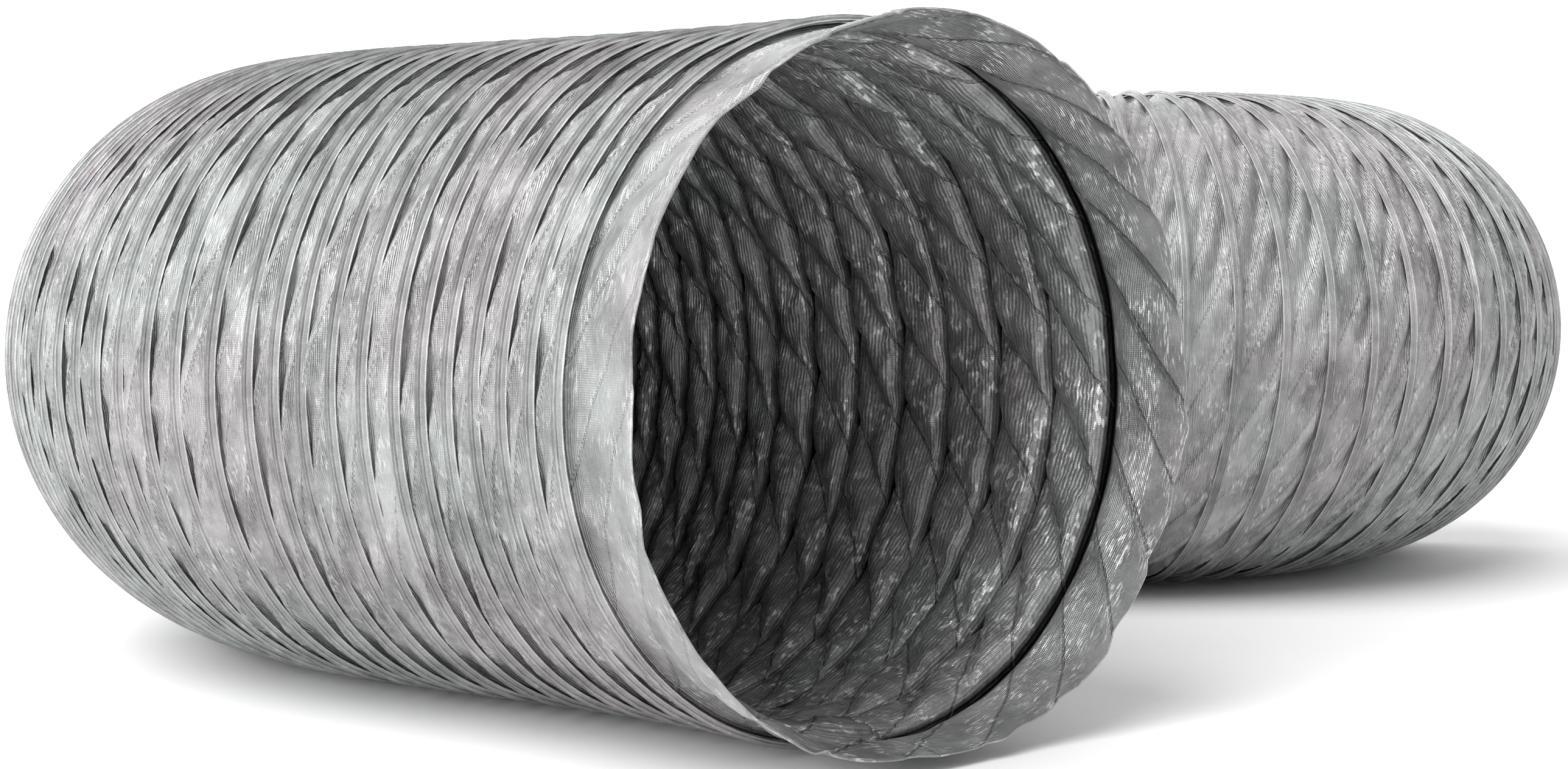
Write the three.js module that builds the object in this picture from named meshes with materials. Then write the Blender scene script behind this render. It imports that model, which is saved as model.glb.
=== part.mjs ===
// Flexible air duct, nominal bore 300 mm, lying on a floor in a loose S.
//
// A spring-steel wire runs round the duct as one long helix. A fabric skin lies inside the wire and
// a narrow cover strip, welded to the skin, runs over it. A plain fabric cuff at each end goes over
// a round spigot. The duct bends, lifts and stretches anywhere along its length. Here it does so in
// eight flex zones, and the lengths between them are stiff.
//
// Millimetres, +Z up. The origin is on the floor, at the middle of the duct's footprint.

import * as THREE from 'three';

const RIB_RADIUS = 150;          // outside of the cover strip, from the duct's centreline
const STRIP_HEIGHT = 1.15;       // cover strip, flat side to peak
const STRIP_HALF_WIDTH = 1.1;
const WIRE_RADIUS = 0.8;
const SKIN_WALL = 1.2;
const CUFF_WALL = 1.5;
const CUFF_LENGTH = 34;
const CLEARANCE = 0.35;          // between layers, and between neighbouring lengths

const SIDES = 12;                // corners round the duct, one of them touching the floor
const SKIN_STEP = 20;            // longest straight piece of skin along the centreline
const PATH_STEP = 1;             // spacing of the centreline's own stations

const STRIP_BASE = RIB_RADIUS - STRIP_HEIGHT;
const WIRE_CENTRE = STRIP_BASE - CLEARANCE - WIRE_RADIUS;
const SKIN_OUTER = WIRE_CENTRE - WIRE_RADIUS - CLEARANCE;

// The centreline from the mouth to the tail: length of each run, and how far it turns left over it.
const MOUTH_HEADING = 39;        // degrees left of +Y, looking into the duct from its mouth
const RUNS = [
  { length: 150, turn: 17 },
  { length: 90, turn: 2 },
  { length: 90, turn: -19 },
  { length: 450, turn: -137 },
  { length: 120, turn: -5 },
  { length: 120, turn: 18 },
  { length: 270, turn: 82 },
];
const LENGTH = RUNS.reduce((sum, run) => sum + run.length, 0);

// Distance between turns of the wire: drawn out at the mouth, bunched up where the left bend starts.
const PITCHES = [
  { at: 0, pitch: 26 },
  { at: 300, pitch: 12.5 },
  { at: 380, pitch: 12.5 },
  { at: 520, pitch: 20 },
  { at: 920, pitch: 20 },
  { at: 1040, pitch: 16.5 },
  { at: LENGTH, pitch: 16.5 },
];

// Stiff lengths, named in order from the mouth, and the middle and length of the flex zones between.
const STIFF = ['mouth', 'front_run', 'left_bend_in', 'left_bend_mid', 'left_bend_out',
  'back_run', 'right_bend_in', 'right_bend_mid', 'tail'];
const FLEX = [
  { name: 'mouth_lift', middle: 100, length: 60 },
  { name: 'front_stretch', middle: 200, length: 70 },
  { name: 'left_bend_a', middle: 330, length: 70 },
  { name: 'left_bend_b', middle: 480, length: 70 },
  { name: 'left_bend_c', middle: 640, length: 70 },
  { name: 'back_stretch', middle: 840, length: 70 },
  { name: 'right_bend_a', middle: 990, length: 70 },
  { name: 'right_bend_b', middle: 1130, length: 70 },
];

const clothMaterial = new THREE.MeshStandardMaterial({ color: 0xa9a9ab, roughness: 0.55, metalness: 0.0 });
const flexMaterial = new THREE.MeshStandardMaterial({ color: 0x9a9a9d, roughness: 0.6, metalness: 0.0 });
const stripMaterial = new THREE.MeshStandardMaterial({ color: 0xc4c3c6, roughness: 0.45, metalness: 0.0 });
const wireMaterial = new THREE.MeshStandardMaterial({ color: 0x8f9194, roughness: 0.35, metalness: 0.9 });

const radians = THREE.MathUtils.degToRad;

// Heading of the centreline at a distance from the mouth. It runs straight on past both ends.
function headingAt(distance) {
  let heading = MOUTH_HEADING;
  let left = THREE.MathUtils.clamp(distance, 0, LENGTH);
  for (const run of RUNS) {
    heading += run.turn * Math.min(left / run.length, 1);
    left -= Math.min(left, run.length);
  }
  return radians(heading);
}

// Points of the centreline, PATH_STEP apart, found by adding up the heading.
const centres = [new THREE.Vector3(0, 0, RIB_RADIUS)];
for (let i = 0; i * PATH_STEP < LENGTH; i += 1) {
  const heading = headingAt((i + 0.5) * PATH_STEP);
  const step = new THREE.Vector3(-Math.sin(heading), Math.cos(heading), 0).multiplyScalar(PATH_STEP);
  centres.push(centres[i].clone().add(step));
}

// The centreline's point, its direction and the direction to its right, at a distance from the mouth.
function station(distance) {
  const inside = THREE.MathUtils.clamp(distance, 0, LENGTH);
  const index = Math.min(Math.floor(inside / PATH_STEP), centres.length - 2);
  const heading = headingAt(distance);
  const along = new THREE.Vector3(-Math.sin(heading), Math.cos(heading), 0);
  const right = new THREE.Vector3(Math.cos(heading), Math.sin(heading), 0);
  const centre = centres[index].clone().lerp(centres[index + 1], inside / PATH_STEP - index);
  return { centre: centre.addScaledVector(along, distance - inside), along, right };
}

// A point at a radius and an angle round the duct. Angle 0 is to the right and 90 degrees is up.
function pointAt(distance, angle, radius) {
  const { centre, right } = station(distance);
  return centre.addScaledVector(right, radius * Math.cos(angle)).setZ(RIB_RADIUS + radius * Math.sin(angle));
}

// A closed body through rings of equal point count. A loop joins its last ring to the first one;
// otherwise both ends are capped. Faces are turned outwards by the sign of the enclosed volume.
function loft(rings, loop, material, name) {
  const count = rings[0].length;
  const points = rings.flat();
  const faces = [];
  const joins = loop ? rings.length : rings.length - 1;
  for (let ring = 0; ring < joins; ring += 1) {
    const here = ring * count;
    const next = ((ring + 1) % rings.length) * count;
    for (let i = 0; i < count; i += 1) {
      const j = (i + 1) % count;
      faces.push([here + i, here + j, next + j], [here + i, next + j, next + i]);
    }
  }
  if (!loop) {
    const last = (rings.length - 1) * count;
    for (let i = 1; i < count - 1; i += 1) {
      faces.push([0, i + 1, i], [last, last + i, last + i + 1]);
    }
  }
  let volume = 0;
  for (const [a, b, c] of faces) {
    volume += points[a].dot(points[b].clone().cross(points[c]));
  }
  const geometry = new THREE.BufferGeometry().setFromPoints(points);
  geometry.setIndex(faces.flatMap(([a, b, c]) => (volume > 0 ? [a, b, c] : [a, c, b])));
  geometry.computeVertexNormals();
  const mesh = new THREE.Mesh(geometry, material);
  mesh.name = name;
  return mesh;
}

// A fabric wall from one distance to another, made of one wall section for each corner of the duct.
function clothTube(from, to, outer, wall, material, name) {
  const steps = Math.max(1, Math.ceil((to - from) / SKIN_STEP));
  const distances = Array.from({ length: steps + 1 }, (_, i) => from + ((to - from) * i) / steps);
  const rings = [];
  for (let corner = 0; corner < SIDES; corner += 1) {
    const angle = (2 * Math.PI * corner) / SIDES;
    const outside = distances.map((distance) => pointAt(distance, angle, outer));
    const inside = distances.map((distance) => pointAt(distance, angle, outer - wall));
    rings.push([...outside, ...inside.reverse()]);
  }
  return loft(rings, true, material, name);
}

// Distance from the mouth at each corner that the helix passes, from its first turn to its last.
function pitchAt(distance) {
  const next = Math.max(1, PITCHES.findIndex((row) => row.at >= distance));
  const [a, b] = [PITCHES[next - 1], PITCHES[next]];
  return THREE.MathUtils.mapLinear(distance, a.at, b.at, a.pitch, b.pitch);
}

const helixDistances = [0];
while (helixDistances.at(-1) + pitchAt(helixDistances.at(-1)) / SIDES < LENGTH) {
  helixDistances.push(helixDistances.at(-1) + pitchAt(helixDistances.at(-1)) / SIDES);
}

// Draws the end of a helix piece back towards its neighbouring section, by half the clearance.
function drawBack(end, neighbour) {
  const reach = CLEARANCE / 2 / end[0].distanceTo(neighbour[0]);
  end.forEach((point, i) => point.lerp(neighbour[i], reach));
}

// The part of the helix between two distances, with a section given as [along, radius] pairs. It
// ends at the first corner past its length, where the next part begins.
function helixPiece(from, to, section, material, name) {
  const first = helixDistances.findIndex((distance) => distance >= from);
  const past = helixDistances.findIndex((distance) => distance >= to);
  const last = past < 0 ? helixDistances.length - 1 : past;
  const rings = [];
  for (let index = first; index <= last; index += 1) {
    const distance = helixDistances[index];
    const angle = (2 * Math.PI * index) / SIDES - Math.PI / 2;
    rings.push(section.map(([along, radius]) => (
      pointAt(distance, angle, radius).addScaledVector(station(distance).along, along)
    )));
  }
  drawBack(rings[0], rings[1]);
  drawBack(rings.at(-1), rings.at(-2));
  return loft(rings, false, material, name);
}

const wireSection = [90, 210, 330].map((degrees) => [
  WIRE_RADIUS * Math.cos(radians(degrees)),
  WIRE_CENTRE + WIRE_RADIUS * Math.sin(radians(degrees)),
]);
const stripSection = [
  [-STRIP_HALF_WIDTH, STRIP_BASE],
  [STRIP_HALF_WIDTH, STRIP_BASE],
  [0, RIB_RADIUS],
];

const duct = new THREE.Group();

// The skin, the wire and the cover strip of one length. Lengths meet with a small gap.
function addLength(name, from, to, skinMaterial) {
  const gap = CLEARANCE / 2;
  duct.add(clothTube(from + gap, to - gap, SKIN_OUTER, SKIN_WALL, skinMaterial, `skin_${name}`));
  duct.add(helixPiece(from, to, wireSection, wireMaterial, `wire_${name}`));
  duct.add(helixPiece(from, to, stripSection, stripMaterial, `cover_strip_${name}`));
}

STIFF.forEach((name, index) => {
  const before = FLEX[index - 1];
  const after = FLEX[index];
  const from = before ? before.middle + before.length / 2 : 0;
  const to = after ? after.middle - after.length / 2 : LENGTH;
  addLength(name, from, to, clothMaterial);
});
FLEX.forEach(({ name, middle, length }) => {
  addLength(`${name}_flex`, middle - length / 2, middle + length / 2, flexMaterial);
});

// The cuffs carry on from the skin, past the first and the last turn of the wire.
duct.add(clothTube(-CUFF_LENGTH, -CLEARANCE, SKIN_OUTER, CUFF_WALL, clothMaterial, 'mouth_cuff'));
duct.add(clothTube(LENGTH + CLEARANCE, LENGTH + CUFF_LENGTH, SKIN_OUTER, CUFF_WALL, clothMaterial, 'tail_cuff'));

const footprint = new THREE.Box3().setFromObject(duct).getCenter(new THREE.Vector3());
duct.position.set(-footprint.x, -footprint.y, 0);

export default duct;
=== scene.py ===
"""Flexible air duct, nominal bore 300 mm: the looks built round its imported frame.

The duct is one long band of coated fabric wound into a tube, a spring wire that runs along the band's
seam, a cover strip over the wire, and a plain fabric cuff at each end. Metres, +Z up.
"""

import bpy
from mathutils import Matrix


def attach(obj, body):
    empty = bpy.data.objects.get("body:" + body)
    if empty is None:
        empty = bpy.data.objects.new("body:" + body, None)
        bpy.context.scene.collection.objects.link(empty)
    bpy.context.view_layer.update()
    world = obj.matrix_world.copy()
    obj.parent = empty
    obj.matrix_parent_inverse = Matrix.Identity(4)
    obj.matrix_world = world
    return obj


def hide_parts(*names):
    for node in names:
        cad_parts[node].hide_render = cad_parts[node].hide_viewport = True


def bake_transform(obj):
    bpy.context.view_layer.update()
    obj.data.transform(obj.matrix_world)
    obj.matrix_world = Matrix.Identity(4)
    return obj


bl_info = {
    "name": "Flexible Air Duct",
    "version": (1, 0, 0),
    "blender": (4, 5, 0),
    "location": "3D View > Sidebar > Air Duct",
    "description": "Builds the fabric, wire, cover strip and cuffs of a flexible air duct on its frame",
    "category": "Add Mesh",
}

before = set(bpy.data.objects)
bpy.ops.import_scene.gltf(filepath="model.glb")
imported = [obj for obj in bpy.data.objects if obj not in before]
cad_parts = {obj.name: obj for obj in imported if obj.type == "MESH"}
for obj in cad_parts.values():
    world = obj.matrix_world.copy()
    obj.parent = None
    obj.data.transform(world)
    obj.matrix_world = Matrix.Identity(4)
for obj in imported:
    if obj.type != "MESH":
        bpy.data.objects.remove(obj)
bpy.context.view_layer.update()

import math

import bmesh
import bpy
import numpy as np
from bpy.props import FloatProperty, FloatVectorProperty, IntProperty, PointerProperty
from mathutils import Vector

# The frame's own numbers, in metres: see the part's source.
MOUTH_CENTRE = (-0.016177902, -0.292494926, 0.150)
MOUTH_HEADING = 39.0
RUNS = [(0.150, 17), (0.090, 2), (0.090, -19), (0.450, -137), (0.120, -5), (0.120, 18), (0.270, 82)]
LENGTH = sum(length for length, turn in RUNS)
PITCHES = [(0.0, 0.026), (0.300, 0.0125), (0.380, 0.0125), (0.520, 0.020), (0.920, 0.020),
           (1.040, 0.0165), (LENGTH, 0.0165)]
CORNERS = 12
RIB_RADIUS = 0.150
WIRE_CENTRE = 0.1477
SEAM_RADIUS = 0.1466
CUFF_LENGTH = 0.034
CUFF_WALL_SHARE = 1.4                 # a cuff's wall against the skin's
THREAD = 0.0012                       # spacing of the weave
BODIES = ["mouth_end", "front_run", "left_bend_start", "left_bend_middle", "left_bend_end",
          "back_run", "right_bend_start", "right_bend_middle", "tail_end"]
STIFF = ["mouth", "front_run", "left_bend_in", "left_bend_mid", "left_bend_out", "back_run",
         "right_bend_in", "right_bend_mid", "tail"]
STIFF_MIDDLES = [0.035, 0.1475, 0.265, 0.405, 0.560, 0.740, 0.915, 1.060, 1.2275]
TAIL_START = 1.185
FLEX = ["mouth_lift", "front_stretch", "left_bend_a", "left_bend_b", "left_bend_c", "back_stretch",
        "right_bend_a", "right_bend_b"]
LENGTHS = FLEX + ["tail"]

# The mesh of the fabric: points to one turn, and rows from one turn to the next
COLUMNS = 324
ROWS = 12
SEAM_ROUND = 2 * math.pi * SEAM_RADIUS


# The duct's path

def _headings(distance):
    """Heading in radians at distances from the mouth. It runs straight on past both ends."""
    ends = np.cumsum([0.0] + [length for length, turn in RUNS])
    turned = np.cumsum([MOUTH_HEADING] + [turn for length, turn in RUNS])
    return np.radians(np.interp(distance, ends, turned))


PATH_STEP = 0.001
PATH_PAST = 0.300
_path_at = np.arange(round((LENGTH + 2 * PATH_PAST) / PATH_STEP) + 1) * PATH_STEP - PATH_PAST
_mid = _headings(_path_at[:-1] + PATH_STEP / 2)
_path_x = np.concatenate([[0], np.cumsum(-np.sin(_mid) * PATH_STEP)])
_path_y = np.concatenate([[0], np.cumsum(np.cos(_mid) * PATH_STEP)])
_path_x += MOUTH_CENTRE[0] - np.interp(0, _path_at, _path_x)
_path_y += MOUTH_CENTRE[1] - np.interp(0, _path_at, _path_y)


def station(distance):
    """Centre, forward direction and direction to the right, at distances from the mouth."""
    heading = _headings(distance)
    flat = np.zeros_like(heading)
    centre = np.stack([np.interp(distance, _path_at, _path_x),
                       np.interp(distance, _path_at, _path_y), flat + MOUTH_CENTRE[2]], -1)
    along = np.stack([-np.sin(heading), np.cos(heading), flat], -1)
    right = np.stack([np.cos(heading), np.sin(heading), flat], -1)
    return centre, along, right


def point_at(distance, angle, radius):
    """A point at a radius and an angle round the duct. Angle 0 is to the right, a quarter turn is up."""
    centre, along, right = station(distance)
    up = np.array([0.0, 0.0, 1.0])
    return (centre + right * (radius * np.cos(angle))[..., None]
            + up * (radius * np.sin(angle))[..., None])


def _turn_table():
    at, pitch = zip(*PITCHES)
    distances = [0.0]
    while distances[-1] + np.interp(distances[-1], at, pitch) / CORNERS < LENGTH:
        distances.append(distances[-1] + np.interp(distances[-1], at, pitch) / CORNERS)
    return np.array(distances)


TURN_DISTANCES = _turn_table()
TURNS = (len(TURN_DISTANCES) - 1) / CORNERS


def turn_distance(turn):
    """Distance from the mouth at turns of the wire, its first point being turn 0."""
    turn = np.asarray(turn, float)
    inner = np.interp(turn * CORNERS, np.arange(len(TURN_DISTANCES)), TURN_DISTANCES)
    return (inner + np.minimum(turn, 0) * PITCHES[0][1] + np.maximum(turn - TURNS, 0) * PITCHES[-1][1])


def turn_angle(turn):
    return 2 * math.pi * np.asarray(turn, float) - math.pi / 2


def wire_point(turn, radius):
    return point_at(turn_distance(turn), turn_angle(turn), np.zeros_like(turn) + radius)


# Where the pieces are cut: within each stiff length. The last piece is the stiff tail, and each of the
# others crosses one flex zone.

def cut_turns():
    turns = np.linspace(0, TURNS, 4001)
    cuts = [0.0]
    for middle in STIFF_MIDDLES[1:-1] + [TAIL_START]:
        pitch = np.interp(middle, *zip(*PITCHES))
        cuts.append(float(np.interp(middle - pitch / 2, turn_distance(turns), turns)))
    return [round(cut * COLUMNS) for cut in cuts]


# Noise that repeats the same way on each run

def ease(share):
    """A smooth step from 0 to 1."""
    return share * share * (3 - 2 * share)


def between(knots, place):
    """Smooth values at places among evenly spaced knots. The knots repeat past the last one."""
    low = place.astype(int)
    share = ease(place - low)
    return knots[low % len(knots)] * (1 - share) + knots[(low + 1) % len(knots)] * share


def smooth_noise(count, spacing, seed):
    """Smooth random values, one each step, that change over a number of steps."""
    knots = np.random.default_rng(seed).uniform(-1, 1, int(count / spacing) + 4)
    return between(knots, np.arange(count) / spacing)


def closed_noise(knots, seed):
    """Smooth random values round one turn, the last one the same as the first."""
    values = np.random.default_rng(seed).uniform(-1, 1, knots)
    return between(values, np.arange(COLUMNS + 1) / COLUMNS * knots)


# The fabric

def _norm(v):
    return np.sqrt(np.einsum("...i,...i->...", v, v))


def _pull(a, b, rest, free_a, free_b, stretch, squeeze):
    """Moves two sets of points towards their rest distance."""
    span = b - a
    length = _norm(span) + 1e-9
    wrong = length - rest
    share = np.where(wrong > 0, stretch, squeeze) * wrong / length / (free_a + free_b + 1e-6)
    span *= share[..., None]
    a += span * free_a[..., None]
    b -= span * free_b[..., None]


def _pull_all(x, free, round_rest, cross_rest):
    slant = np.sqrt(round_rest ** 2 + cross_rest ** 2)
    for first in (0, 1):
        stop = first + (x.shape[0] - first) // 2 * 2
        a, b = x[first:stop:2], x[first + 1:stop:2]
        fa, fb = free[first:stop:2], free[first + 1:stop:2]
        _pull(a, b, round_rest, fa, fb, STRETCHED, SQUEEZED)
        s = slant[first:stop:2]
        _pull(a[:, :-1], b[:, 1:], s, fa[:, :-1], fb[:, 1:], SLANT_STRETCHED, SLANT_SQUEEZED)
        _pull(a[:, 1:], b[:, :-1], s, fa[:, 1:], fb[:, :-1], SLANT_STRETCHED, SLANT_SQUEEZED)
    for first in (0, 1):
        stop = first + (x.shape[1] - first) // 2 * 2
        a, b = x[:, first:stop:2], x[:, first + 1:stop:2]
        fa, fb = free[:, first:stop:2], free[:, first + 1:stop:2]
        _pull(a, b, cross_rest, fa, fb, STRETCHED, SQUEEZED)


FACET_TABLE = 4096


def facet_value(ids, seed):
    """A random value between -1 and 1 for each facet."""
    table = np.random.default_rng(seed).uniform(-1, 1, FACET_TABLE)
    return table[np.asarray(ids, int) % FACET_TABLE]


def rest_depth(turn, angle, gap):
    """How far the slack lies inside the wire: most on the right near the mouth, least far back."""
    distance = turn_distance(turn + 0.5)
    near = ease(np.clip((0.55 - distance) / 0.20, 0, 1))
    right = np.clip(0.60 + 0.75 * np.cos(angle), 0, 1)
    front = -0.0016 + 0.0098 * right
    back = -0.0009 + 0.0004 * np.cos(angle * 2 + 1.0)
    # on the inside of a tight bend the turns bunch up, and all of the slack goes inwards
    bunched = np.clip((0.016 - gap) / 0.012, 0, 1) * 0.0095
    return front * near + back * (1 - near) + bunched


FOLD_LIMIT = RIB_RADIUS - 0.0008      # folds stay within this radius, just inside the ribs
DEEP = 0.005                          # a fold this deep is a deep one
CREASE_AT = 0.84                      # share of a facet's width where its crease starts
STRETCHED, SQUEEZED = (1.0, 0.9)      # share of a wrong length put right in one pass, along threads
SLANT_STRETCHED, SLANT_SQUEEZED = (0.6, 0.35)      # the same across them


def crease_map(size, turn, across):
    """A number that goes up by one from each slanting crease to the next. A crease runs from a corner
    of one turn to a corner of the next one."""
    warp = 0.16 * smooth_noise(len(turn), 70, 5) + 0.06 * smooth_noise(len(turn), 19, 7)
    phase = ((size.facets - size.facet_creep) * turn + warp)[:, None] - size.facet_creep * across[None, :]
    sway = smooth_noise(len(turn), 33, 8)[:, None] * np.sin(2 * math.pi * across)[None, :]
    return phase + 0.10 * sway


def fold_lift(size, turn, across, depth, phase):
    """How far inside the wire a fold lies: its slack, its facets and the pockets beside the rib."""
    near = np.clip((0.60 - turn_distance(turn)) / 0.25, 0, 1)
    ids = np.floor(phase)
    q = phase - ids
    rise = np.where(q < CREASE_AT, (q / CREASE_AT) ** 0.9, 1 - (q - CREASE_AT) / (1 - CREASE_AT))
    random = [facet_value(ids, seed) for seed in (21, 22, 23, 24)]
    plateau = 1 - np.abs(2 * across - 1) ** 4.0
    middle = np.sin(math.pi * across) ** 0.4
    flat = size.facet_flat * 4 * q * (1 - q) * (0.8 + 0.3 * random[0])
    scale = (0.55 + 0.75 * (1 - near))[:, None] * (1 + 0.55 * random[1])
    saw = size.pleat * (0.5 - rise) * scale
    tilt = 0.0017 * random[2] * (q - 0.5) * 2 + 0.0020 * random[3] * (across[None, :] - 0.5) * 2
    lift = depth[:, None] * plateau[None, :] + (flat + saw + tilt) * middle[None, :]
    # pockets lie on the side away from the mouth, where a crease meets the rib
    open_pocket = np.clip(1 - np.abs(q[:, 0] - 0.22) / 0.26, 0, 1) ** 0.7
    open_pocket *= 0.75 + 0.5 * facet_value(ids[:, 0], 31)
    pocket = np.exp(-((across - 0.13) / 0.085) ** 2)
    return lift + size.pocket * open_pocket[:, None] * pocket[None, :]


def settle(size, x, low, high, place, clear, shift):
    """The fabric solver: a few rounds that put the cloth's lengths right, and keep each fold between
    its own two turns and inside the ribs. Its edges, on the wire, don't move."""
    free = np.ones(x.shape[:2], np.float32)
    free[:, 0] = free[:, -1] = 0
    x += np.random.default_rng(11).normal(0, 0.00025, x.shape) * free[..., None]
    x = x.astype(np.float32)
    round_rest = np.float32(SEAM_ROUND / COLUMNS)
    total = _norm(x[:, 1:] - x[:, :-1]).sum(1)
    total = np.convolve(np.pad(total, 12, mode="edge"), np.ones(25) / 25, "valid")
    cross_rest = (total * size.slack / ROWS).astype(np.float32)[:, None]
    low_centre, low_along, _ = (v.astype(np.float32) for v in station(low))
    high_centre, high_along, _ = (v.astype(np.float32) for v in station(high))
    centre, along, _ = (v.astype(np.float32) for v in station(place))
    clear, shift = clear.astype(np.float32), shift.astype(np.float32)
    rounds = size.rounds
    for step in range(rounds):
        _pull_all(x, free, round_rest, cross_rest)
        # the fold stays between the planes of its own two turns
        side = np.einsum("ikj,ij->ik", x - low_centre[:, None], low_along)
        need = np.maximum(0, clear + shift - side) * free
        x += need[..., None] * low_along[:, None]
        side = np.einsum("ikj,ij->ik", x - high_centre[:, None], high_along)
        need = np.maximum(0, side + clear - shift) * free
        x -= need[..., None] * high_along[:, None]
        # and inside the ribs
        out = x - centre
        out -= np.einsum("ikj,ikj->ik", out, along)[..., None] * along
        radius = _norm(out)
        over = np.maximum(0, radius - FOLD_LIMIT) * free
        x -= out * (over / radius)[..., None]
    for step in range(size.smoothing):
        mean = x.copy()
        mean[1:-1, 1:-1] = (x[2:, 1:-1] + x[:-2, 1:-1] + x[1:-1, 2:] + x[1:-1, :-2]) / 4
        x += (mean - x) * 0.35 * free[..., None]
    return x


def lay_band(size):
    """The band between the wire's turns, creased slantwise into flat facets. Rows run across it."""
    turn = np.arange(round((TURNS - 1) * COLUMNS) + 1) / COLUMNS
    angle = turn_angle(turn)
    low, high = turn_distance(turn), turn_distance(turn + 1)
    across = np.linspace(0, 1, ROWS + 1)
    gap = _norm(wire_point(turn + 1, SEAM_RADIUS) - wire_point(turn, SEAM_RADIUS))
    depth = rest_depth(turn, angle, gap) * (1 + 0.25 * smooth_noise(len(turn), 55, 9))
    phase = crease_map(size, turn, across)
    # how far a point is on its way from one turn to the next: a deep fold leaves its turns steeply
    deep = np.clip(depth / DEEP, 0, 1)[:, None]
    steep = 0.85 * deep
    forward = across[None, :] * (1 - steep) + (0.5 - 0.5 * np.cos(math.pi * across))[None, :] * steep
    q = phase - np.floor(phase)
    corner = (4 * q * (1 - q) - 0.6) * np.minimum(gap / 0.02, 1)[:, None] ** 2
    edge = np.minimum(across, 1 - across)
    shift = size.corner_shift * corner * np.minimum(1, 12 * edge)[None, :]
    distance = low[:, None] * (1 - forward) + high[:, None] * forward + shift
    radius = np.minimum(SEAM_RADIUS - fold_lift(size, turn, across, depth, phase), FOLD_LIMIT)
    x = point_at(distance, np.broadcast_to(angle[:, None], distance.shape), radius)
    x[:, 0] = wire_point(turn, SEAM_RADIUS)
    x[:, -1] = wire_point(turn + 1, SEAM_RADIUS)
    clear = size.groove / 2 * np.minimum(1, 8 * edge)[None, :]
    clear = clear * np.minimum(1, gap / 0.014)[:, None] * (0.2 + 0.8 * deep)
    place = low[:, None] * (1 - across) + high[:, None] * across
    x = settle(size, x, low, high, place, clear, shift)
    return x, place, turn * SEAM_ROUND, across * float(size.band_width), phase


CUFF_CREASES = 21
# Waves round a cuff: height, knots round the turn, and what is added to the cuff's seed
RAGGED_EDGE = [(0.0032, 9, 0), (0.0016, 31, 1), (0.0007, 97, 7)]
SWELL = [(0.0045, 9, 2)]
FOLDS = [(0.0024, 23, 3), (0.0010, 61, 4)]


def waves(kinds, seed):
    return sum(height * closed_noise(knots, seed + more) for height, knots, more in kinds)


def hang(past):
    """Depth of a cuff inside the wire, at a distance past a turn of it."""
    past = np.maximum(past, 0)
    return 0.0042 * (1 - np.exp(-past / 0.0028)) - 0.0040 * np.clip(past / CUFF_LENGTH, 0, 2) ** 2.0


def lay_cuff(first, sign, beside):
    """A cuff, from the wire's end turn to its raw edge. Where it passes the wire's end it meets the
    skin's own end, whose points are given. The sign is -1 at the mouth and 1 at the tail."""
    seed = 40 if sign < 0 else 60
    share = np.arange(COLUMNS + 1) / COLUMNS
    turn = first - sign * share
    angle = turn_angle(turn)
    pitch = abs(turn_distance(first - sign) - turn_distance(first))
    wire = turn_distance(turn)
    edge = turn_distance(first) + sign * (CUFF_LENGTH - 0.0020 + waves(RAGGED_EDGE, seed))
    # rows from the wire to where its next turn would be, and as many from there to the edge
    rows = np.linspace(0, 1, ROWS + 1)
    passed = wire + sign * pitch
    distance = np.concatenate([wire[:, None] + sign * pitch * rows[None, :],
                               (passed[:, None] * (1 - rows) + edge[:, None] * rows)[:, 1:]], 1)
    meet = ease(np.clip((share - 0.80) / 0.20, 0, 1))[:, None]
    past = np.abs(distance - wire[:, None])
    beyond = np.maximum(past - pitch, 0)
    lift = hang(past)
    lift = lift * (1 - meet) + meet * np.where(past > pitch, hang(beyond), lift)
    free = np.clip(np.minimum(past, np.where(past > pitch, beyond, past) * meet + past * (1 - meet))
                   / 0.010, 0, 1)
    toward = np.clip(np.abs(distance - edge[:, None]) / CUFF_LENGTH, 0, 1)
    lift = lift + free * (waves(SWELL, seed)[:, None] * (1 - toward) + waves(FOLDS, seed)[:, None])
    # long creases that run slantwise from the wire to the edge
    phase = (share * CUFF_CREASES)[:, None] + 0.9 * closed_noise(8, seed + 5)[:, None]
    phase = phase - sign * past / CUFF_LENGTH * 1.3
    q = phase - np.floor(phase)
    ids = np.floor(phase).astype(int) % CUFF_CREASES
    strength = 0.0040 * (0.5 + 0.5 * facet_value(ids, seed + 6))
    lift = lift + free * strength * np.where(q < 0.8, 0.5 - q / 0.8, (q - 0.8) / 0.2 - 0.5)
    radius = np.clip(SEAM_RADIUS - lift, 0.125, RIB_RADIUS - 0.0010)
    points = point_at(distance, np.broadcast_to(angle[:, None], distance.shape), radius)
    points[:, 0] = wire_point(turn, SEAM_RADIUS)
    wrong = points[-1, :ROWS + 1] - beside[::sign]
    points[:, :ROWS + 1] -= wrong[None] * (meet ** 2)[..., None]
    u = turn * SEAM_ROUND
    v = np.concatenate([rows, 1 + rows[1:]]) * CUFF_LENGTH
    # the facet map's second number stops half way, so that only the side by the wire has a seam
    beside_wire = np.minimum(np.arange(2 * ROWS + 1) / ROWS, 0.5)
    facets = np.stack([phase, np.broadcast_to(beside_wire, phase.shape)], -1)
    return points, u, v, facets


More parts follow.
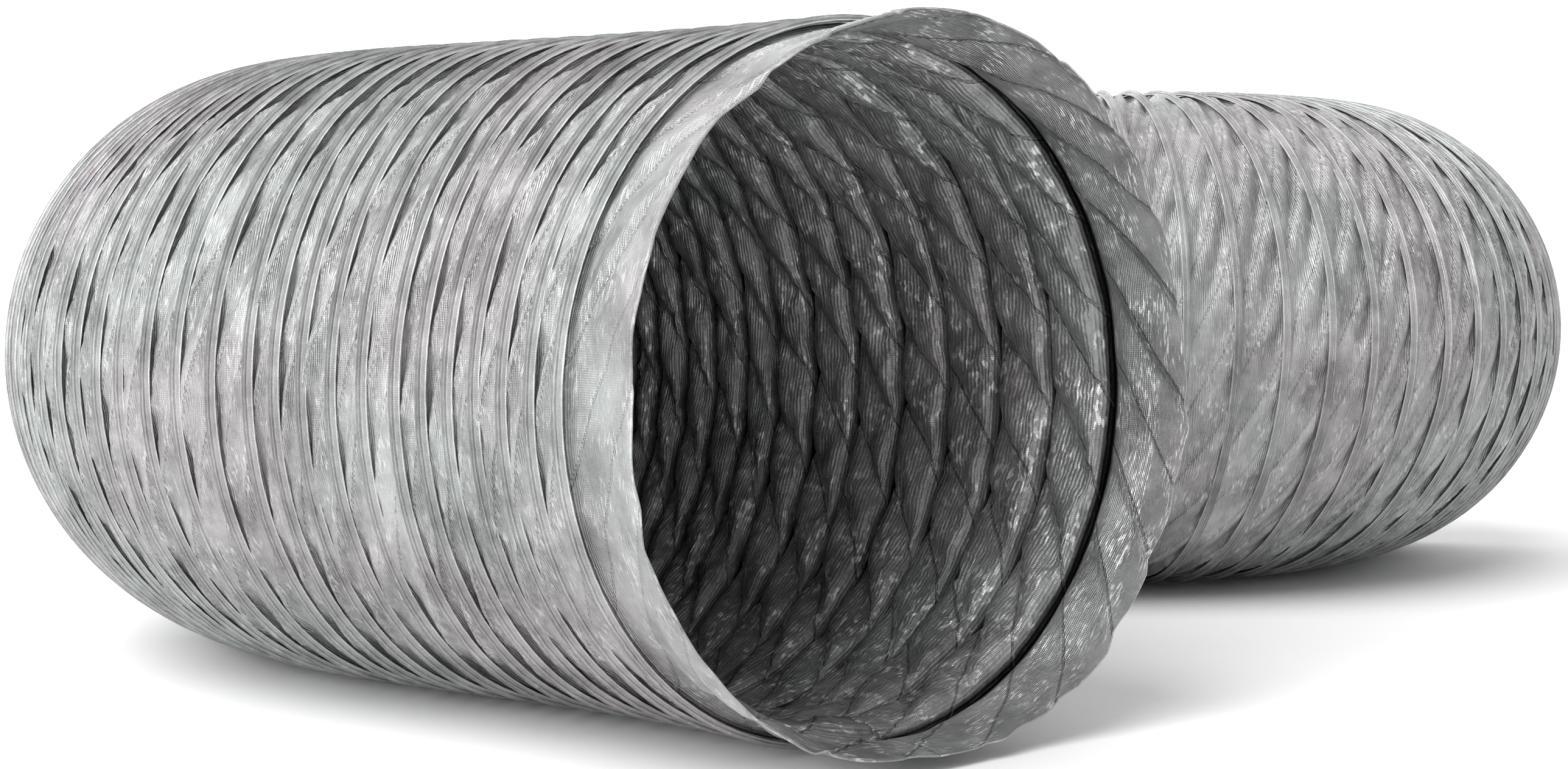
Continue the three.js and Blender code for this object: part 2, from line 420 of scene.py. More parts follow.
def grid_mesh(name, points, u, v, facets, flip=False):
    """A mesh from a grid of points, with a UV map in metres and one that counts facets."""
    rows, columns = points.shape[:2]
    index = np.arange(rows * columns).reshape(rows, columns)
    quads = np.stack([index[:-1, :-1], index[1:, :-1], index[1:, 1:], index[:-1, 1:]], -1).reshape(-1, 4)
    if flip:
        quads = quads[:, ::-1]
    mesh = bpy.data.meshes.new(name)
    mesh.vertices.add(rows * columns)
    mesh.vertices.foreach_set("co", np.ascontiguousarray(points, np.float32).ravel())
    mesh.loops.add(quads.size)
    mesh.loops.foreach_set("vertex_index", quads.ravel())
    mesh.polygons.add(len(quads))
    mesh.polygons.foreach_set("loop_start", np.arange(len(quads)) * 4)
    mesh.polygons.foreach_set("loop_total", np.full(len(quads), 4))
    mesh.polygons.foreach_set("use_smooth", np.ones(len(quads), bool))
    flat = np.stack([np.broadcast_to(u[:, None], (rows, columns)),
                     np.broadcast_to(v[None, :], (rows, columns))], -1).reshape(-1, 2)
    layer = mesh.uv_layers.new(name="UVMap")
    layer.data.foreach_set("uv", flat[quads.ravel()].astype(np.float32).ravel())
    layer = mesh.uv_layers.new(name="Facets")
    layer.data.foreach_set("uv", facets.reshape(-1, 2)[quads.ravel()].astype(np.float32).ravel())
    mesh.update(calc_edges=True)
    mesh.validate()
    piece = bpy.data.objects.new(name, mesh)
    bpy.context.scene.collection.objects.link(piece)
    return piece


def dress(piece, wall):
    """Gives cloth its outer and inner finish and a thin closed wall."""
    piece.data.materials.append(MATERIALS["outside"])
    piece.data.materials.append(MATERIALS["inside"])
    solidify = piece.modifiers.new("wall", "SOLIDIFY")
    solidify.thickness = wall
    solidify.offset = -1
    solidify.use_even_offset = False
    solidify.material_offset = 1
    solidify.material_offset_rim = 0


def join_duct(piece, distances, number, kind):
    """Stands one length of the duct in for the frame's own nodes there, which it hides. Only the tail
    length is attached to a body of the frame, so that it moves with it.

    The points of the other lengths are laid out straight, their transform is baked, and they are put back
    after it."""
    if number == len(FLEX):
        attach(piece, BODIES[-1])
        nodes = [f"{kind}_{STIFF[-1]}"]
    else:
        mesh = piece.data
        real = np.zeros(len(mesh.vertices) * 3, np.float32)
        mesh.vertices.foreach_get("co", real)
        straight = np.zeros((len(mesh.vertices), 3), np.float32)
        straight[:, 0] = distances
        mesh.vertices.foreach_set("co", straight.ravel())
        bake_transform(piece)
        mesh.vertices.foreach_set("co", real)
        mesh.update()
        nodes = [f"{kind}_{STIFF[number]}", f"{kind}_{FLEX[number]}_flex"]
    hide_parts(*nodes)


# Nodes

def plug(tree, node, inputs):
    """Sets a node's inputs. Each is given a value, or is linked to the output of another node."""
    for name, value in inputs.items():
        if isinstance(value, bpy.types.NodeSocket):
            tree.links.new(value, node.inputs[name])
        else:
            node.inputs[name].default_value = value


def add(tree, kind, inputs=None, **settings):
    """A new node, with its settings and inputs."""
    node = tree.nodes.new(kind)
    for name, value in settings.items():
        setattr(node, name, value)
    plug(tree, node, inputs or {})
    return node


def math_node(tree, operation, *values):
    """The result of a sum on numbers and outputs."""
    return add(tree, "ShaderNodeMath", dict(enumerate(values)), operation=operation).outputs[0]


# The wire and the cover strip, swept along the helix by Geometry Nodes

def sweep_tree(name):
    """A tree that sweeps an oval along a path of edges. Its normals come from the path's attribute."""
    tree = bpy.data.node_groups.new(name, "GeometryNodeTree")
    face = tree.interface
    face.new_socket("Geometry", in_out="INPUT", socket_type="NodeSocketGeometry")
    for label in ("Width", "Height", "Offset"):
        socket = face.new_socket(label, in_out="INPUT", socket_type="NodeSocketFloat")
        socket.subtype = "DISTANCE"
    face.new_socket("Sides", in_out="INPUT", socket_type="NodeSocketInt")
    face.new_socket("Material", in_out="INPUT", socket_type="NodeSocketMaterial")
    face.new_socket("Geometry", in_out="OUTPUT", socket_type="NodeSocketGeometry")
    given = tree.nodes.new("NodeGroupInput").outputs

    def direction(label):
        node = add(tree, "GeometryNodeInputNamedAttribute", {"Name": label}, data_type="FLOAT_VECTOR")
        return node.outputs["Attribute"]

    def keep(geometry, label, value):
        """Keeps a value on a geometry's points before they are swept."""
        node = tree.nodes.new("GeometryNodeCaptureAttribute")
        node.capture_items.new("FLOAT", label)
        plug(tree, node, {"Geometry": geometry, label: value})
        return node.outputs["Geometry"], node.outputs[label]

    length = tree.nodes.new("GeometryNodeSplineParameter").outputs["Length"]
    # the path, shifted along the duct
    shift = add(tree, "ShaderNodeVectorMath", {0: direction("along"), "Scale": given["Offset"]},
                operation="SCALE")
    moved = add(tree, "GeometryNodeSetPosition",
                {"Geometry": given["Geometry"], "Offset": shift.outputs["Vector"]})
    curve = add(tree, "GeometryNodeMeshToCurve", {"Mesh": moved.outputs["Geometry"]})
    curve = add(tree, "GeometryNodeSetCurveNormal",
                {"Curve": curve.outputs["Curve"], "Normal": direction("outward")}, mode="FREE")
    path, far = keep(curve.outputs["Curve"], "Length", length)
    # the oval
    circle = add(tree, "GeometryNodeCurvePrimitiveCircle", {"Radius": 1.0, "Resolution": given["Sides"]})
    half = [math_node(tree, "MULTIPLY", given[label], 0.5) for label in ("Height", "Width")]
    size = add(tree, "ShaderNodeCombineXYZ", dict(enumerate(half)))
    oval = add(tree, "GeometryNodeTransform",
               {"Geometry": circle.outputs["Curve"], "Scale": size.outputs[0]})
    profile, side = keep(oval.outputs["Geometry"], "Side", length)
    # the swept mesh, with a UV map in metres
    mesh = add(tree, "GeometryNodeCurveToMesh",
               {"Curve": path, "Profile Curve": profile, "Fill Caps": True})
    place = add(tree, "ShaderNodeCombineXYZ", {0: far, 1: side})
    mesh = add(tree, "GeometryNodeStoreNamedAttribute",
               {"Geometry": mesh.outputs["Mesh"], "Name": "UVMap", "Value": place.outputs[0]},
               data_type="FLOAT2", domain="CORNER")
    for kind in ("GeometryNodeSetShadeSmooth", "GeometryNodeRealizeInstances"):
        mesh = add(tree, kind, {"Geometry": mesh.outputs["Geometry"]})
    mesh = add(tree, "GeometryNodeSetMaterial",
               {"Geometry": mesh.outputs["Geometry"], "Material": given["Material"]})
    add(tree, "NodeGroupOutput", {"Geometry": mesh.outputs["Geometry"]})
    return tree


def sweep(name, tree, turns, radius, values):
    """One length of the helix as a plain mesh."""
    points = wire_point(turns, radius)
    centre, along, right = station(turn_distance(turns))
    outward = points - centre
    outward /= _norm(outward)[:, None]
    path = bpy.data.meshes.new(name + "_path")
    path.from_pydata([tuple(p) for p in points], [(i, i + 1) for i in range(len(points) - 1)], [])
    for label, field in (("outward", outward), ("along", along)):
        attribute = path.attributes.new(label, "FLOAT_VECTOR", "POINT")
        attribute.data.foreach_set("vector", field.astype(np.float32).ravel())
    far = path.attributes.new("distance", "FLOAT", "POINT")
    far.data.foreach_set("value", turn_distance(turns).astype(np.float32))
    guide = bpy.data.objects.new(name + "_path", path)
    bpy.context.scene.collection.objects.link(guide)
    modifier = guide.modifiers.new("sweep", "NODES")
    modifier.node_group = tree
    for item in tree.interface.items_tree:
        if item.in_out == "INPUT" and item.name in values:
            modifier[item.identifier] = values[item.name]
    bpy.context.view_layer.update()
    depsgraph = bpy.context.evaluated_depsgraph_get()
    mesh = bpy.data.meshes.new_from_object(guide.evaluated_get(depsgraph), depsgraph=depsgraph)
    bpy.data.objects.remove(guide)
    mesh.name = name
    return mesh


def helix_pieces(kind, prefix, step, sections):
    """Pieces that follow the helix. Each section is a radius and the values of the sweep's inputs."""
    tree = sweep_tree("duct_" + prefix)
    cuts = cut_turns() + [round(TURNS * COLUMNS)]
    for number, length in enumerate(LENGTHS):
        first, last = cuts[number], cuts[number + 1]
        turns = np.append(np.arange(first, last, step), last) / COLUMNS
        joined = bmesh.new()
        for radius, values in sections:
            mesh = sweep(f"{prefix}_{length}", tree, turns, radius, values)
            joined.from_mesh(mesh)
            material = values["Material"]
            bpy.data.meshes.remove(mesh)
        mesh = bpy.data.meshes.new(f"{prefix}_{length}")
        joined.to_mesh(mesh)
        joined.free()
        mesh.materials.append(material)
        piece = bpy.data.objects.new(mesh.name, mesh)
        bpy.context.scene.collection.objects.link(piece)
        distances = np.zeros(len(mesh.vertices), np.float32)
        mesh.attributes["distance"].data.foreach_get("value", distances)
        join_duct(piece, distances, number, kind)


# Shader groups

def shader_group(name, inputs, outputs):
    """A group with a Place input and number inputs. Gives the group and what its inputs give."""
    group = bpy.data.node_groups.new(name, "ShaderNodeTree")
    face = group.interface
    face.new_socket("Place", in_out="INPUT", socket_type="NodeSocketVector")
    for label, value in inputs.items():
        socket = face.new_socket(label, in_out="INPUT", socket_type="NodeSocketFloat")
        socket.default_value = value
    for label in outputs:
        face.new_socket(label, in_out="OUTPUT", socket_type="NodeSocketFloat")
    return group, group.nodes.new("NodeGroupInput").outputs


def map_range(tree, value, low, high, to=(0.0, 1.0), **settings):
    inputs = {"Value": value, "From Min": low, "From Max": high, "To Min": to[0], "To Max": to[1]}
    return add(tree, "ShaderNodeMapRange", inputs, **settings).outputs[0]


def noise(tree, place, scale, detail, rough=0.5):
    inputs = {"Vector": place, "Scale": scale, "Detail": detail, "Roughness": rough}
    return add(tree, "ShaderNodeTexNoise", inputs).outputs["Fac"]


def bump(tree, strength, distance, height, **more):
    inputs = {"Strength": strength, "Distance": distance, "Height": height, **more}
    return add(tree, "ShaderNodeBump", inputs).outputs["Normal"]


def mix_colour(tree, factor, a, b, blend_type="MIX"):
    node = add(tree, "ShaderNodeMix", {0: factor, 6: a, 7: b}, data_type="RGBA", blend_type=blend_type)
    return node.outputs[2]


def weave_group():
    """Threads of a plain weave on a UV map in metres: their height, and a mask of glints in patches, for
    painted highlights.
    """
    tree, given = shader_group("duct_weave", {"Spacing": THREAD, "Glints": 0.5}, ("Height", "Glint"))
    place = given["Place"]
    split = add(tree, "ShaderNodeSeparateXYZ", {0: place})
    u, v = split.outputs[0], split.outputs[1]
    v = math_node(tree, "ADD", v, math_node(tree, "MULTIPLY", noise(tree, place, 70.0, 2.0), 0.0009))
    threads = []
    for along, step, high in ((v, 2.0 * math.pi, 0.30), (u, 2.6 * math.pi, 0.14)):
        turns = math_node(tree, "DIVIDE", along, given["Spacing"])
        wave = math_node(tree, "SINE", math_node(tree, "MULTIPLY", turns, step))
        threads.append(math_node(tree, "MULTIPLY", wave, high))
    # glints: short streaks along the threads, in patches, that light the cloth's colour as painted
    # highlights
    stretch = add(tree, "ShaderNodeCombineXYZ",
                  {0: math_node(tree, "MULTIPLY", u, 170.0), 1: math_node(tree, "MULTIPLY", v, 560.0)})
    streak = noise(tree, stretch.outputs[0], 1.0, 2.0)
    height = math_node(tree, "MULTIPLY_ADD", streak, 1.6, math_node(tree, "ADD", *threads))
    glint_patches = map_range(tree, noise(tree, place, 55.0, 3.0), 0.46, 0.58)
    glint = math_node(tree, "MULTIPLY", map_range(tree, streak, 0.53, 0.61), glint_patches)
    glint = math_node(tree, "MULTIPLY", glint, given["Glints"])
    add(tree, "NodeGroupOutput", {"Height": height, "Glint": glint})
    return tree


def patina_group():
    """Uneven tone of coated cloth on object coordinates: a tone mask, a tint mask and crumples."""
    tree, given = shader_group("duct_patina", {"Scale": 1.0}, ("Tone", "Tint", "Crumple"))

    def cloud(scale, detail, rough, shift=0.0):
        moved = add(tree, "ShaderNodeMapping",
                    {"Vector": given["Place"], "Location": (shift, shift * 0.7, -shift)})
        scale = math_node(tree, "MULTIPLY", given["Scale"], scale)
        return noise(tree, moved.outputs["Vector"], scale, detail, rough)

    # crumples: ridges where the noise crosses its middle
    ridge = math_node(tree, "ABSOLUTE", math_node(tree, "SUBTRACT", cloud(62.0, 3.0, 0.55, 7.7), 0.5))
    crumple = math_node(tree, "ADD", math_node(tree, "MULTIPLY", ridge, -2.6),
                        math_node(tree, "MULTIPLY", cloud(150.0, 3.0, 0.6, 1.3), 0.35))
    add(tree, "NodeGroupOutput",
        {"Tone": cloud(38.0, 5.0, 0.62), "Tint": cloud(9.0, 2.0, 0.5, 3.1), "Crumple": crumple})
    return tree


def crease_group():
    """Thin creases between facets and seams beside the wire, from a facet map, as masks for painted
    shade.
    """
    tree, given = shader_group("duct_crease", {"Crease": 0.03, "Seam": 0.05},
                               ("Crease", "Seam", "Facet"))
    split = add(tree, "ShaderNodeSeparateXYZ", {0: given["Place"]})
    count, across = split.outputs[0], split.outputs[1]
    whole = math_node(tree, "FLOOR", count)
    part = math_node(tree, "SUBTRACT", count, whole)
    masks = {}
    for label, value in (("Crease", part), ("Seam", across)):
        near = math_node(tree, "MINIMUM", value, math_node(tree, "SUBTRACT", 1.0, value))
        masks[label] = map_range(tree, near, math_node(tree, "MULTIPLY", given[label], 0.5),
                                 given[label], to=(1.0, 0.0), interpolation_type="SMOOTHSTEP")
    cell = add(tree, "ShaderNodeTexWhiteNoise", noise_dimensions="1D")
    plug(tree, cell, {"W": whole})
    add(tree, "NodeGroupOutput", {**masks, "Facet": cell.outputs["Value"]})
    return tree


# Materials

PINK = (1.0, 0.965, 0.985)            # casts that tint the grey in large patches
GREEN = (0.95, 1.0, 0.98)
# painted highlight: the colour the glints lighten the cloth towards
GLINT_HIGHLIGHT = (0.88, 0.88, 0.89, 1)
# painted shade in the creases and in the grooves beside the wire
SEAM_AND_CREASE_SHADE = (0.012, 0.012, 0.013, 1)
SHADE = (0.05, 0.05, 0.05, 1)         # what some facets are darkened towards
CREASE_WIDTH = 0.035                  # share of a facet's width
THREAD_DEPTH = 0.00035


def new_material(name):
    material = bpy.data.materials.new(name)
    material.use_nodes = True
    tree = material.node_tree
    shader = next(n for n in tree.nodes if n.type == "BSDF_PRINCIPLED")
    return material, tree, shader


def place_group(tree, group, place, **values):
    return add(tree, "ShaderNodeGroup", {"Place": place, **values}, node_tree=group)


def cloth_material(name, groups, dark, light, roughness, metallic, crumple, glints,
                   crease_shade=0.0, seam_shade=0.0, seam=0.05):
    """Coated woven cloth, with painted highlights at its glints. Cloth with painted shade in its creases
    or seams needs a facet map.
    """
    material, tree, shader = new_material(name)
    uv = add(tree, "ShaderNodeUVMap", uv_map="UVMap").outputs["UV"]
    here = add(tree, "ShaderNodeTexCoord").outputs["Object"]
    weave = place_group(tree, groups["weave"], uv, Spacing=THREAD, Glints=glints)
    patina = place_group(tree, groups["patina"], here, Scale=1.0)
    tone = map_range(tree, patina.outputs["Tone"], 0.33, 0.68)
    base = mix_colour(tree, tone, (*dark, 1), (*light, 1))
    hue = map_range(tree, patina.outputs["Tint"], 0.38, 0.62)
    cast = mix_colour(tree, hue, (*PINK, 1), (*GREEN, 1))
    colour = mix_colour(tree, 1.0, base, cast, blend_type="MULTIPLY")
    # painted highlight: the glints lighten the colour
    colour = mix_colour(tree, weave.outputs["Glint"], colour, GLINT_HIGHLIGHT)
    height = patina.outputs["Crumple"]
    if crease_shade or seam_shade:
        facets = add(tree, "ShaderNodeUVMap", uv_map="Facets").outputs["UV"]
        crease = place_group(tree, groups["crease"], facets, Crease=CREASE_WIDTH, Seam=seam).outputs
        # painted shade: the creases and the seams beside the wire darken towards near black
        line = math_node(tree, "MAXIMUM", math_node(tree, "MULTIPLY", crease["Crease"], crease_shade),
                         math_node(tree, "MULTIPLY", crease["Seam"], seam_shade))
        colour = mix_colour(tree, line, colour, SEAM_AND_CREASE_SHADE)
        height = math_node(tree, "SUBTRACT", height, math_node(tree, "MULTIPLY", crease["Crease"], 0.45))
        colour = mix_colour(tree, math_node(tree, "MULTIPLY", crease["Facet"], 0.16), colour, SHADE)
    rough = math_node(tree, "MULTIPLY_ADD", patina.outputs["Tone"], 0.30, roughness - 0.15)
    rough = math_node(tree, "SUBTRACT", rough, math_node(tree, "MULTIPLY", weave.outputs["Glint"], 0.16))
    big = bump(tree, 1.0, crumple, height)
    fine = bump(tree, 0.8, THREAD_DEPTH, weave.outputs["Height"], Normal=big)
    plug(tree, shader, {"Base Color": colour, "Roughness": rough, "Metallic": metallic,
                        "Specular IOR Level": 0.55, "Normal": fine})
    return material


MATERIALS = {}
SKIN_ENDS = []                        # points of the skin's two ends, which the cuffs meet


# Settings a user would change

class DuctFabricSettings(bpy.types.PropertyGroup):
    band_width: FloatProperty(
        name="Band width", description="Fabric between two turns of the wire, drawn out flat",
        default=0.030, min=0.024, max=0.060, unit="LENGTH")
    slack: FloatProperty(
        name="Slack", description="How much longer the cloth is than the path it was laid on",
        default=1.05, min=1.0, max=1.2)
    groove: FloatProperty(
        name="Groove", description="Gap between neighbouring folds inside the duct",
        default=0.0048, min=0.0, max=0.008, unit="LENGTH")
    corner_shift: FloatProperty(
        name="Corner shift", description="How far a fold strays from its turn at each corner",
        default=0.0016, min=0.0, max=0.010, unit="LENGTH")
    pleat: FloatProperty(
        name="Pleat", description="Height of the step at each slanting crease", default=0.0034,
        min=0.0, max=0.010, unit="LENGTH")
    facet_flat: FloatProperty(
        name="Flat facets", description="How far a flat facet cuts the corner of the round duct",
        default=0.0038, min=0.0, max=0.010, unit="LENGTH")
    pocket: FloatProperty(
        name="Pocket", description="Depth of the pockets beside the ribs", default=0.0040, min=0.0,
        max=0.010, unit="LENGTH")
    facets: IntProperty(
        name="Facets", description="Creases to one turn", default=23, min=4, max=40)
    facet_creep: FloatProperty(
        name="Facet creep", description="Facets that a crease moves round by on its way across",
        default=1.6, min=-3.0, max=3.0)
    rounds: IntProperty(
        name="Rounds", description="Passes of the fabric solver", default=24, min=0, max=400)
    smoothing: IntProperty(
        name="Smoothing", description="Smoothing passes after the solver", default=1, min=0, max=10)
    wall: FloatProperty(
        name="Wall", description="Thickness of the coated fabric", default=0.0005, min=0.0002,
        max=0.002, unit="LENGTH")
    dark: FloatVectorProperty(
        name="Dark grey", description="Darker tone of the coating", subtype="COLOR",
        default=(0.27, 0.267, 0.27), min=0, max=1)
    light: FloatVectorProperty(
        name="Light grey", description="Lighter tone of the coating", subtype="COLOR",
        default=(0.50, 0.496, 0.50), min=0, max=1)


class DuctWireSettings(bpy.types.PropertyGroup):
    wire: FloatProperty(
        name="Wire", description="Diameter of the spring wire", default=0.0016, min=0.0005,
        max=0.004, unit="LENGTH")
    strip_width: FloatProperty(
        name="Strip width", description="Width of the cover strip's ridge", default=0.0014,
        min=0.0008, max=0.012, unit="LENGTH")
    strip_height: FloatProperty(
        name="Strip height", description="Height of the cover strip's ridge", default=0.0032,
        min=0.001, max=0.006, unit="LENGTH")
    flange_width: FloatProperty(
        name="Flange width", description="Width of the strip's flat flange", default=0.0044,
        min=0.002, max=0.012, unit="LENGTH")
    flange_height: FloatProperty(
        name="Flange height", description="Thickness of the strip's flat flange", default=0.0011,
        min=0.0004, max=0.003, unit="LENGTH")
    flange_offset: FloatProperty(
        name="Flange offset", description="How far the flange reaches towards the mouth",
        default=0.0017, min=0.0, max=0.006, unit="LENGTH")


class DuctStageSettings(bpy.types.PropertyGroup):
    lens: FloatProperty(
        name="Lens", description="Focal length of the camera", default=53.4, min=10, max=300,
        unit="CAMERA")
    floor: FloatVectorProperty(
        name="Floor", description="Colour of the floor", subtype="COLOR",
        default=(0.92, 0.92, 0.92), min=0, max=1)
    sky: FloatProperty(
        name="Sky", description="Strength of the light from all round", default=0.46, min=0, max=5)
    sun: FloatProperty(
        name="Sun", description="Strength of the soft light from above", default=2.7, min=0, max=20)
    front: FloatProperty(
        name="Front", description="Power of the softbox at the front left, in watts", default=26, min=0,
        max=500)


# The stage

CAMERA_PLACE = (-0.0558, -1.2273, 0.2091)
CAMERA_DOWN = math.radians(3.54)
FLOOR_SIDE, FLOOR_NEAR, FLOOR_FAR, FLOOR_BEND, WALL_TOP = (40.0, -40.0, 9.0, 3.0, 20.0)
FLOOR_DROP = 0.0005
BEND_STEPS = 12


def place_camera(scene, setting):
    camera = bpy.data.cameras.new("camera")
    camera.lens = setting.lens
    camera.sensor_width = 36
    holder = bpy.data.objects.new("camera", camera)
    holder.location = CAMERA_PLACE
    holder.rotation_euler = (math.pi / 2 - CAMERA_DOWN, 0, 0)
    scene.collection.objects.link(holder)
    scene.camera = holder


def lay_floor(scene, setting):
    """A floor that curves up into a bright back wall, far behind."""
    profile = [(FLOOR_NEAR, 0.0), (FLOOR_FAR - FLOOR_BEND, 0.0)]
    for step in range(1, BEND_STEPS + 1):
        a = math.pi / 2 * step / BEND_STEPS
        profile.append((FLOOR_FAR - FLOOR_BEND * (1 - math.sin(a)), FLOOR_BEND * (1 - math.cos(a))))
    profile.append((FLOOR_FAR, WALL_TOP))
    vertices = [(x, y, z - FLOOR_DROP) for y, z in profile for x in (-FLOOR_SIDE, FLOOR_SIDE)]
    faces = [(i, i + 1, i + 3, i + 2) for i in range(0, len(vertices) - 2, 2)]
    mesh = bpy.data.meshes.new("floor")
    mesh.from_pydata(vertices, [], faces)
    for name in ("floor", "back_wall"):
        material, tree, shader = new_material(name)
        shader.inputs["Base Color"].default_value = (*setting.floor, 1)
        mesh.materials.append(material)
        if name == "floor":
            shader.inputs["Roughness"].default_value = 0.9
        else:
            shader.inputs["Emission Color"].default_value = (1, 1, 1, 1)
            shader.inputs["Emission Strength"].default_value = 0.55
    for polygon in mesh.polygons:
        polygon.use_smooth = True
        polygon.material_index = min(polygon.index, 1)
    floor = bpy.data.objects.new("floor", mesh)
    scene.collection.objects.link(floor)


def set_lights(scene, setting):
    """Light from all round, a soft sun above and a softbox at the front left."""
    world = bpy.data.worlds.new("sky")
    world.use_nodes = True
    background = world.node_tree.nodes["Background"]
    background.inputs["Color"].default_value = (1, 1, 1, 1)
    background.inputs["Strength"].default_value = setting.sky
    scene.world = world
    sun = bpy.data.lights.new("sun", "SUN")
    sun.angle = math.radians(50)
    sun.energy = setting.sun
    front = bpy.data.lights.new("front", "AREA")
    front.size = 0.9
    front.energy = setting.front
    for lamp, place, aim in ((sun, (-1.3, -1.5, 2.6), (0, 0, 0)),
                             (front, (-1.6, -1.9, 0.9), (-0.2, -0.1, 0.15))):
        stand = bpy.data.objects.new(lamp.name, lamp)
        stand.location = place
        stand.rotation_euler = (Vector(aim) - Vector(place)).to_track_quat("-Z", "Y").to_euler()
        scene.collection.objects.link(stand)


# Operators

class DUCT_OT_materials(bpy.types.Operator):
    """Make the cloth, strip and wire finishes"""
    bl_idname = "duct.materials"
    bl_label = "Materials"

    def execute(self, context):
        size = context.scene.duct_fabric
        groups = {"weave": weave_group(), "patina": patina_group(), "crease": crease_group()}

        def tones(dark_share, light_share):
            return [tuple(dark_share * c for c in size.dark), tuple(light_share * c for c in size.light)]

        # the outside's creases get a little painted shade
        MATERIALS["outside"] = cloth_material("coated_cloth_outside", groups, *tones(1, 1), 0.36, 0.35,
                                              0.0007, 0.45, crease_shade=0.15, seam_shade=0.0, seam=0.06)
        # the inside is a darker copy of the outside, partly its own darker inner face and partly painted
        # shade inside the tube; its seams beside the wire are painted black, as the shade in the grooves
        MATERIALS["inside"] = cloth_material("coated_cloth_inside", groups, *tones(0.76, 0.84), 0.34, 0.4,
                                             0.0008, 0.9, crease_shade=0.48, seam_shade=1.0, seam=0.15)
        MATERIALS["strip"] = cloth_material("cover_strip", groups, *tones(1.1, 1.1), 0.42, 0.3,
                                            0.0004, 0.2)
        MATERIALS["wire"], tree, shader = new_material("spring_wire")
        here = add(tree, "ShaderNodeTexCoord").outputs["Object"]
        patina = place_group(tree, groups["patina"], here, Scale=2.0)
        shade = mix_colour(tree, patina.outputs["Tone"], (0.42, 0.43, 0.44, 1), (0.62, 0.62, 0.63, 1))
        plug(tree, shader, {"Base Color": shade, "Metallic": 1.0, "Roughness": 0.32})
        return {"FINISHED"}


class DUCT_OT_fabric(bpy.types.Operator):
    """Lay the fabric skin between the wire's turns"""
    bl_idname = "duct.fabric"
    bl_label = "Fabric skin"

    def execute(self, context):
        size = context.scene.duct_fabric
        points, place, u, v, phase = lay_band(size)
        SKIN_ENDS[:] = [points[0], points[-1]]
        facets = np.stack([phase, np.broadcast_to(np.linspace(0, 1, ROWS + 1), phase.shape)], -1)
        cuts = cut_turns() + [len(points) - 1]
        for number, length in enumerate(LENGTHS):
            part = slice(cuts[number], cuts[number + 1] + 1)
            piece = grid_mesh(f"fabric_{length}", points[part], u[part], v, facets[part], flip=True)
            dress(piece, size.wall)
            join_duct(piece, place[part].ravel(), number, "skin")
        return {"FINISHED"}


class DUCT_OT_cuffs(bpy.types.Operator):
    """Add a plain cuff at each end of the skin"""
    bl_idname = "duct.cuffs"
    bl_label = "Cuffs"

    def execute(self, context):
        size = context.scene.duct_fabric
        for name, body, first, sign, beside, coil in (
            ("mouth", BODIES[0], 0.0, -1, SKIN_ENDS[0], LENGTHS[0]),
            ("tail", BODIES[-1], TURNS, 1, SKIN_ENDS[1], LENGTHS[-1]),
        ):
            piece = grid_mesh(f"cuff_{name}", *lay_cuff(first, sign, beside))
            dress(piece, size.wall * CUFF_WALL_SHARE)
            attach(piece, body)
            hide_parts(f"{name}_cuff")
        return {"FINISHED"}


class DUCT_OT_wire(bpy.types.Operator):
    """Sweep the spring wire along the helix"""
    bl_idname = "duct.wire"
    bl_label = "Spring wire"

    def execute(self, context):
        size = context.scene.duct_wire
        helix_pieces("wire", "coil", 6, [(WIRE_CENTRE, {
            "Width": size.wire, "Height": size.wire, "Offset": 0.0, "Sides": 8,
            "Material": MATERIALS["wire"]})])
        return {"FINISHED"}


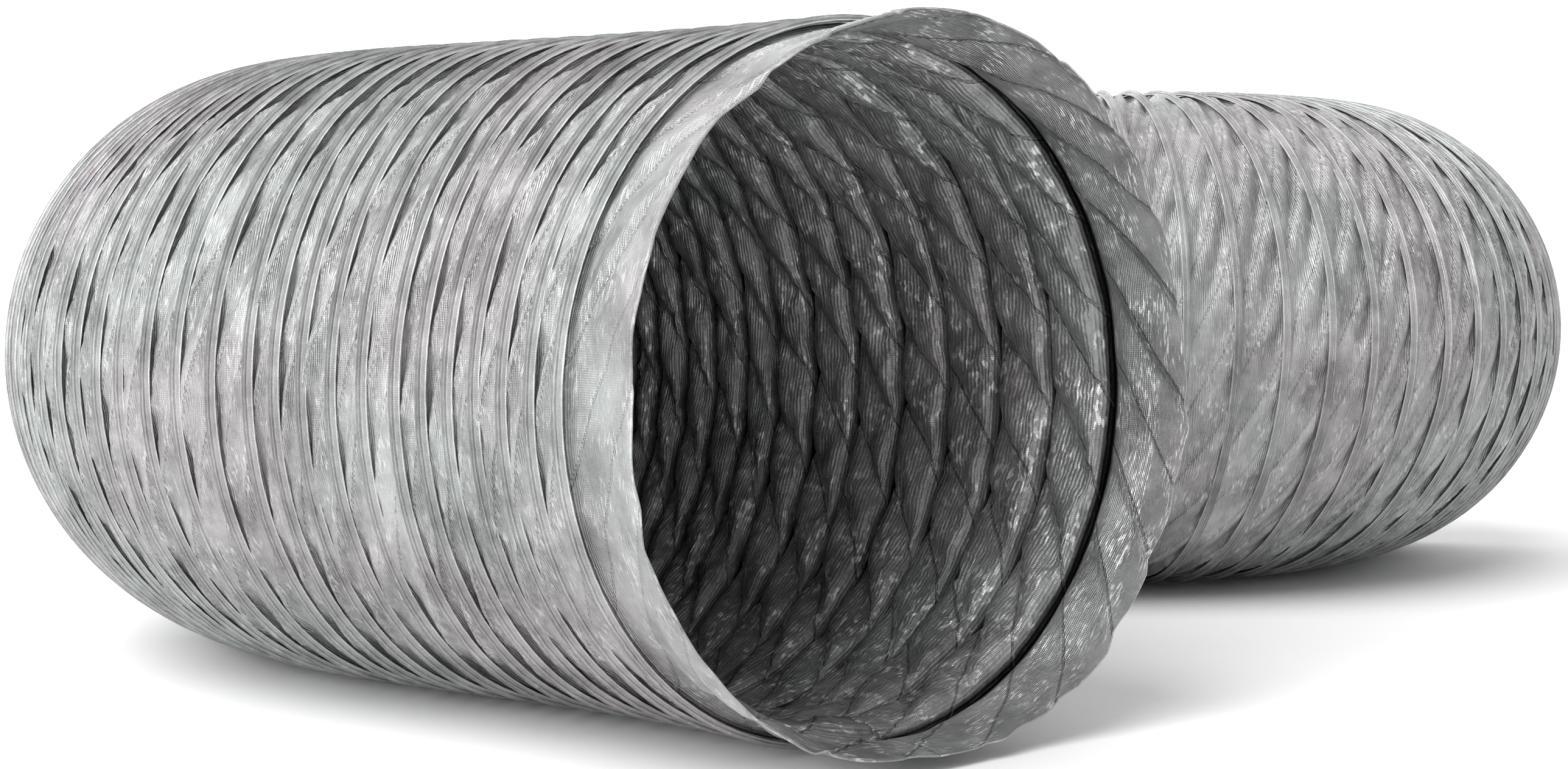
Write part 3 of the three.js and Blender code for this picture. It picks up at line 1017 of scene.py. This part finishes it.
class DUCT_OT_cover_strip(bpy.types.Operator):
    """Sweep the cover strip over the wire"""
    bl_idname = "duct.cover_strip"
    bl_label = "Cover strip"

    def execute(self, context):
        size = context.scene.duct_wire
        helix_pieces("cover_strip", "rib", 3, [
            (RIB_RADIUS - size.strip_height / 2, {
                "Width": size.strip_width, "Height": size.strip_height, "Offset": 0.0, "Sides": 10,
                "Material": MATERIALS["strip"]}),
            (SEAM_RADIUS + size.flange_height / 2 + 0.0002, {
                "Width": size.flange_width, "Height": size.flange_height,
                "Offset": -size.flange_offset, "Sides": 8, "Material": MATERIALS["strip"]})])
        return {"FINISHED"}


class DUCT_OT_stage(bpy.types.Operator):
    """Set the camera, the floor and the lights"""
    bl_idname = "duct.stage"
    bl_label = "Camera, floor and lights"

    def execute(self, context):
        setting = context.scene.duct_stage
        place_camera(context.scene, setting)
        lay_floor(context.scene, setting)
        set_lights(context.scene, setting)
        context.scene.view_settings.view_transform = "Standard"
        return {"FINISHED"}


class DUCT_PT_panel(bpy.types.Panel):
    """The duct's settings and steps"""
    bl_idname = "DUCT_PT_panel"
    bl_label = "Air Duct"
    bl_space_type = "VIEW_3D"
    bl_region_type = "UI"
    bl_category = "Air Duct"

    def draw(self, context):
        layout = self.layout
        for settings in ("duct_fabric", "duct_wire", "duct_stage"):
            box = layout.box()
            group = getattr(context.scene, settings)
            for name in group.bl_rna.properties.keys():
                if name not in ("rna_type", "name"):
                    box.prop(group, name)
        for step in STEPS:
            layout.operator(step)


SETTINGS = {"duct_fabric": DuctFabricSettings, "duct_wire": DuctWireSettings,
            "duct_stage": DuctStageSettings}
STEPS = ["duct.stage", "duct.materials", "duct.wire", "duct.cover_strip", "duct.fabric", "duct.cuffs"]
CLASSES = [DuctFabricSettings, DuctWireSettings, DuctStageSettings, DUCT_OT_stage, DUCT_OT_materials,
           DUCT_OT_wire, DUCT_OT_cover_strip, DUCT_OT_fabric, DUCT_OT_cuffs, DUCT_PT_panel]


def register():
    for item in CLASSES:
        bpy.utils.register_class(item)
    for name, group in SETTINGS.items():
        setattr(bpy.types.Scene, name, PointerProperty(type=group))


def unregister():
    for name in SETTINGS:
        delattr(bpy.types.Scene, name)
    for item in reversed(CLASSES):
        bpy.utils.unregister_class(item)


def main():
    register()
    for step in STEPS:
        space, name = step.split(".")
        getattr(getattr(bpy.ops, space), name)()


if __name__ == "__main__":
    main()
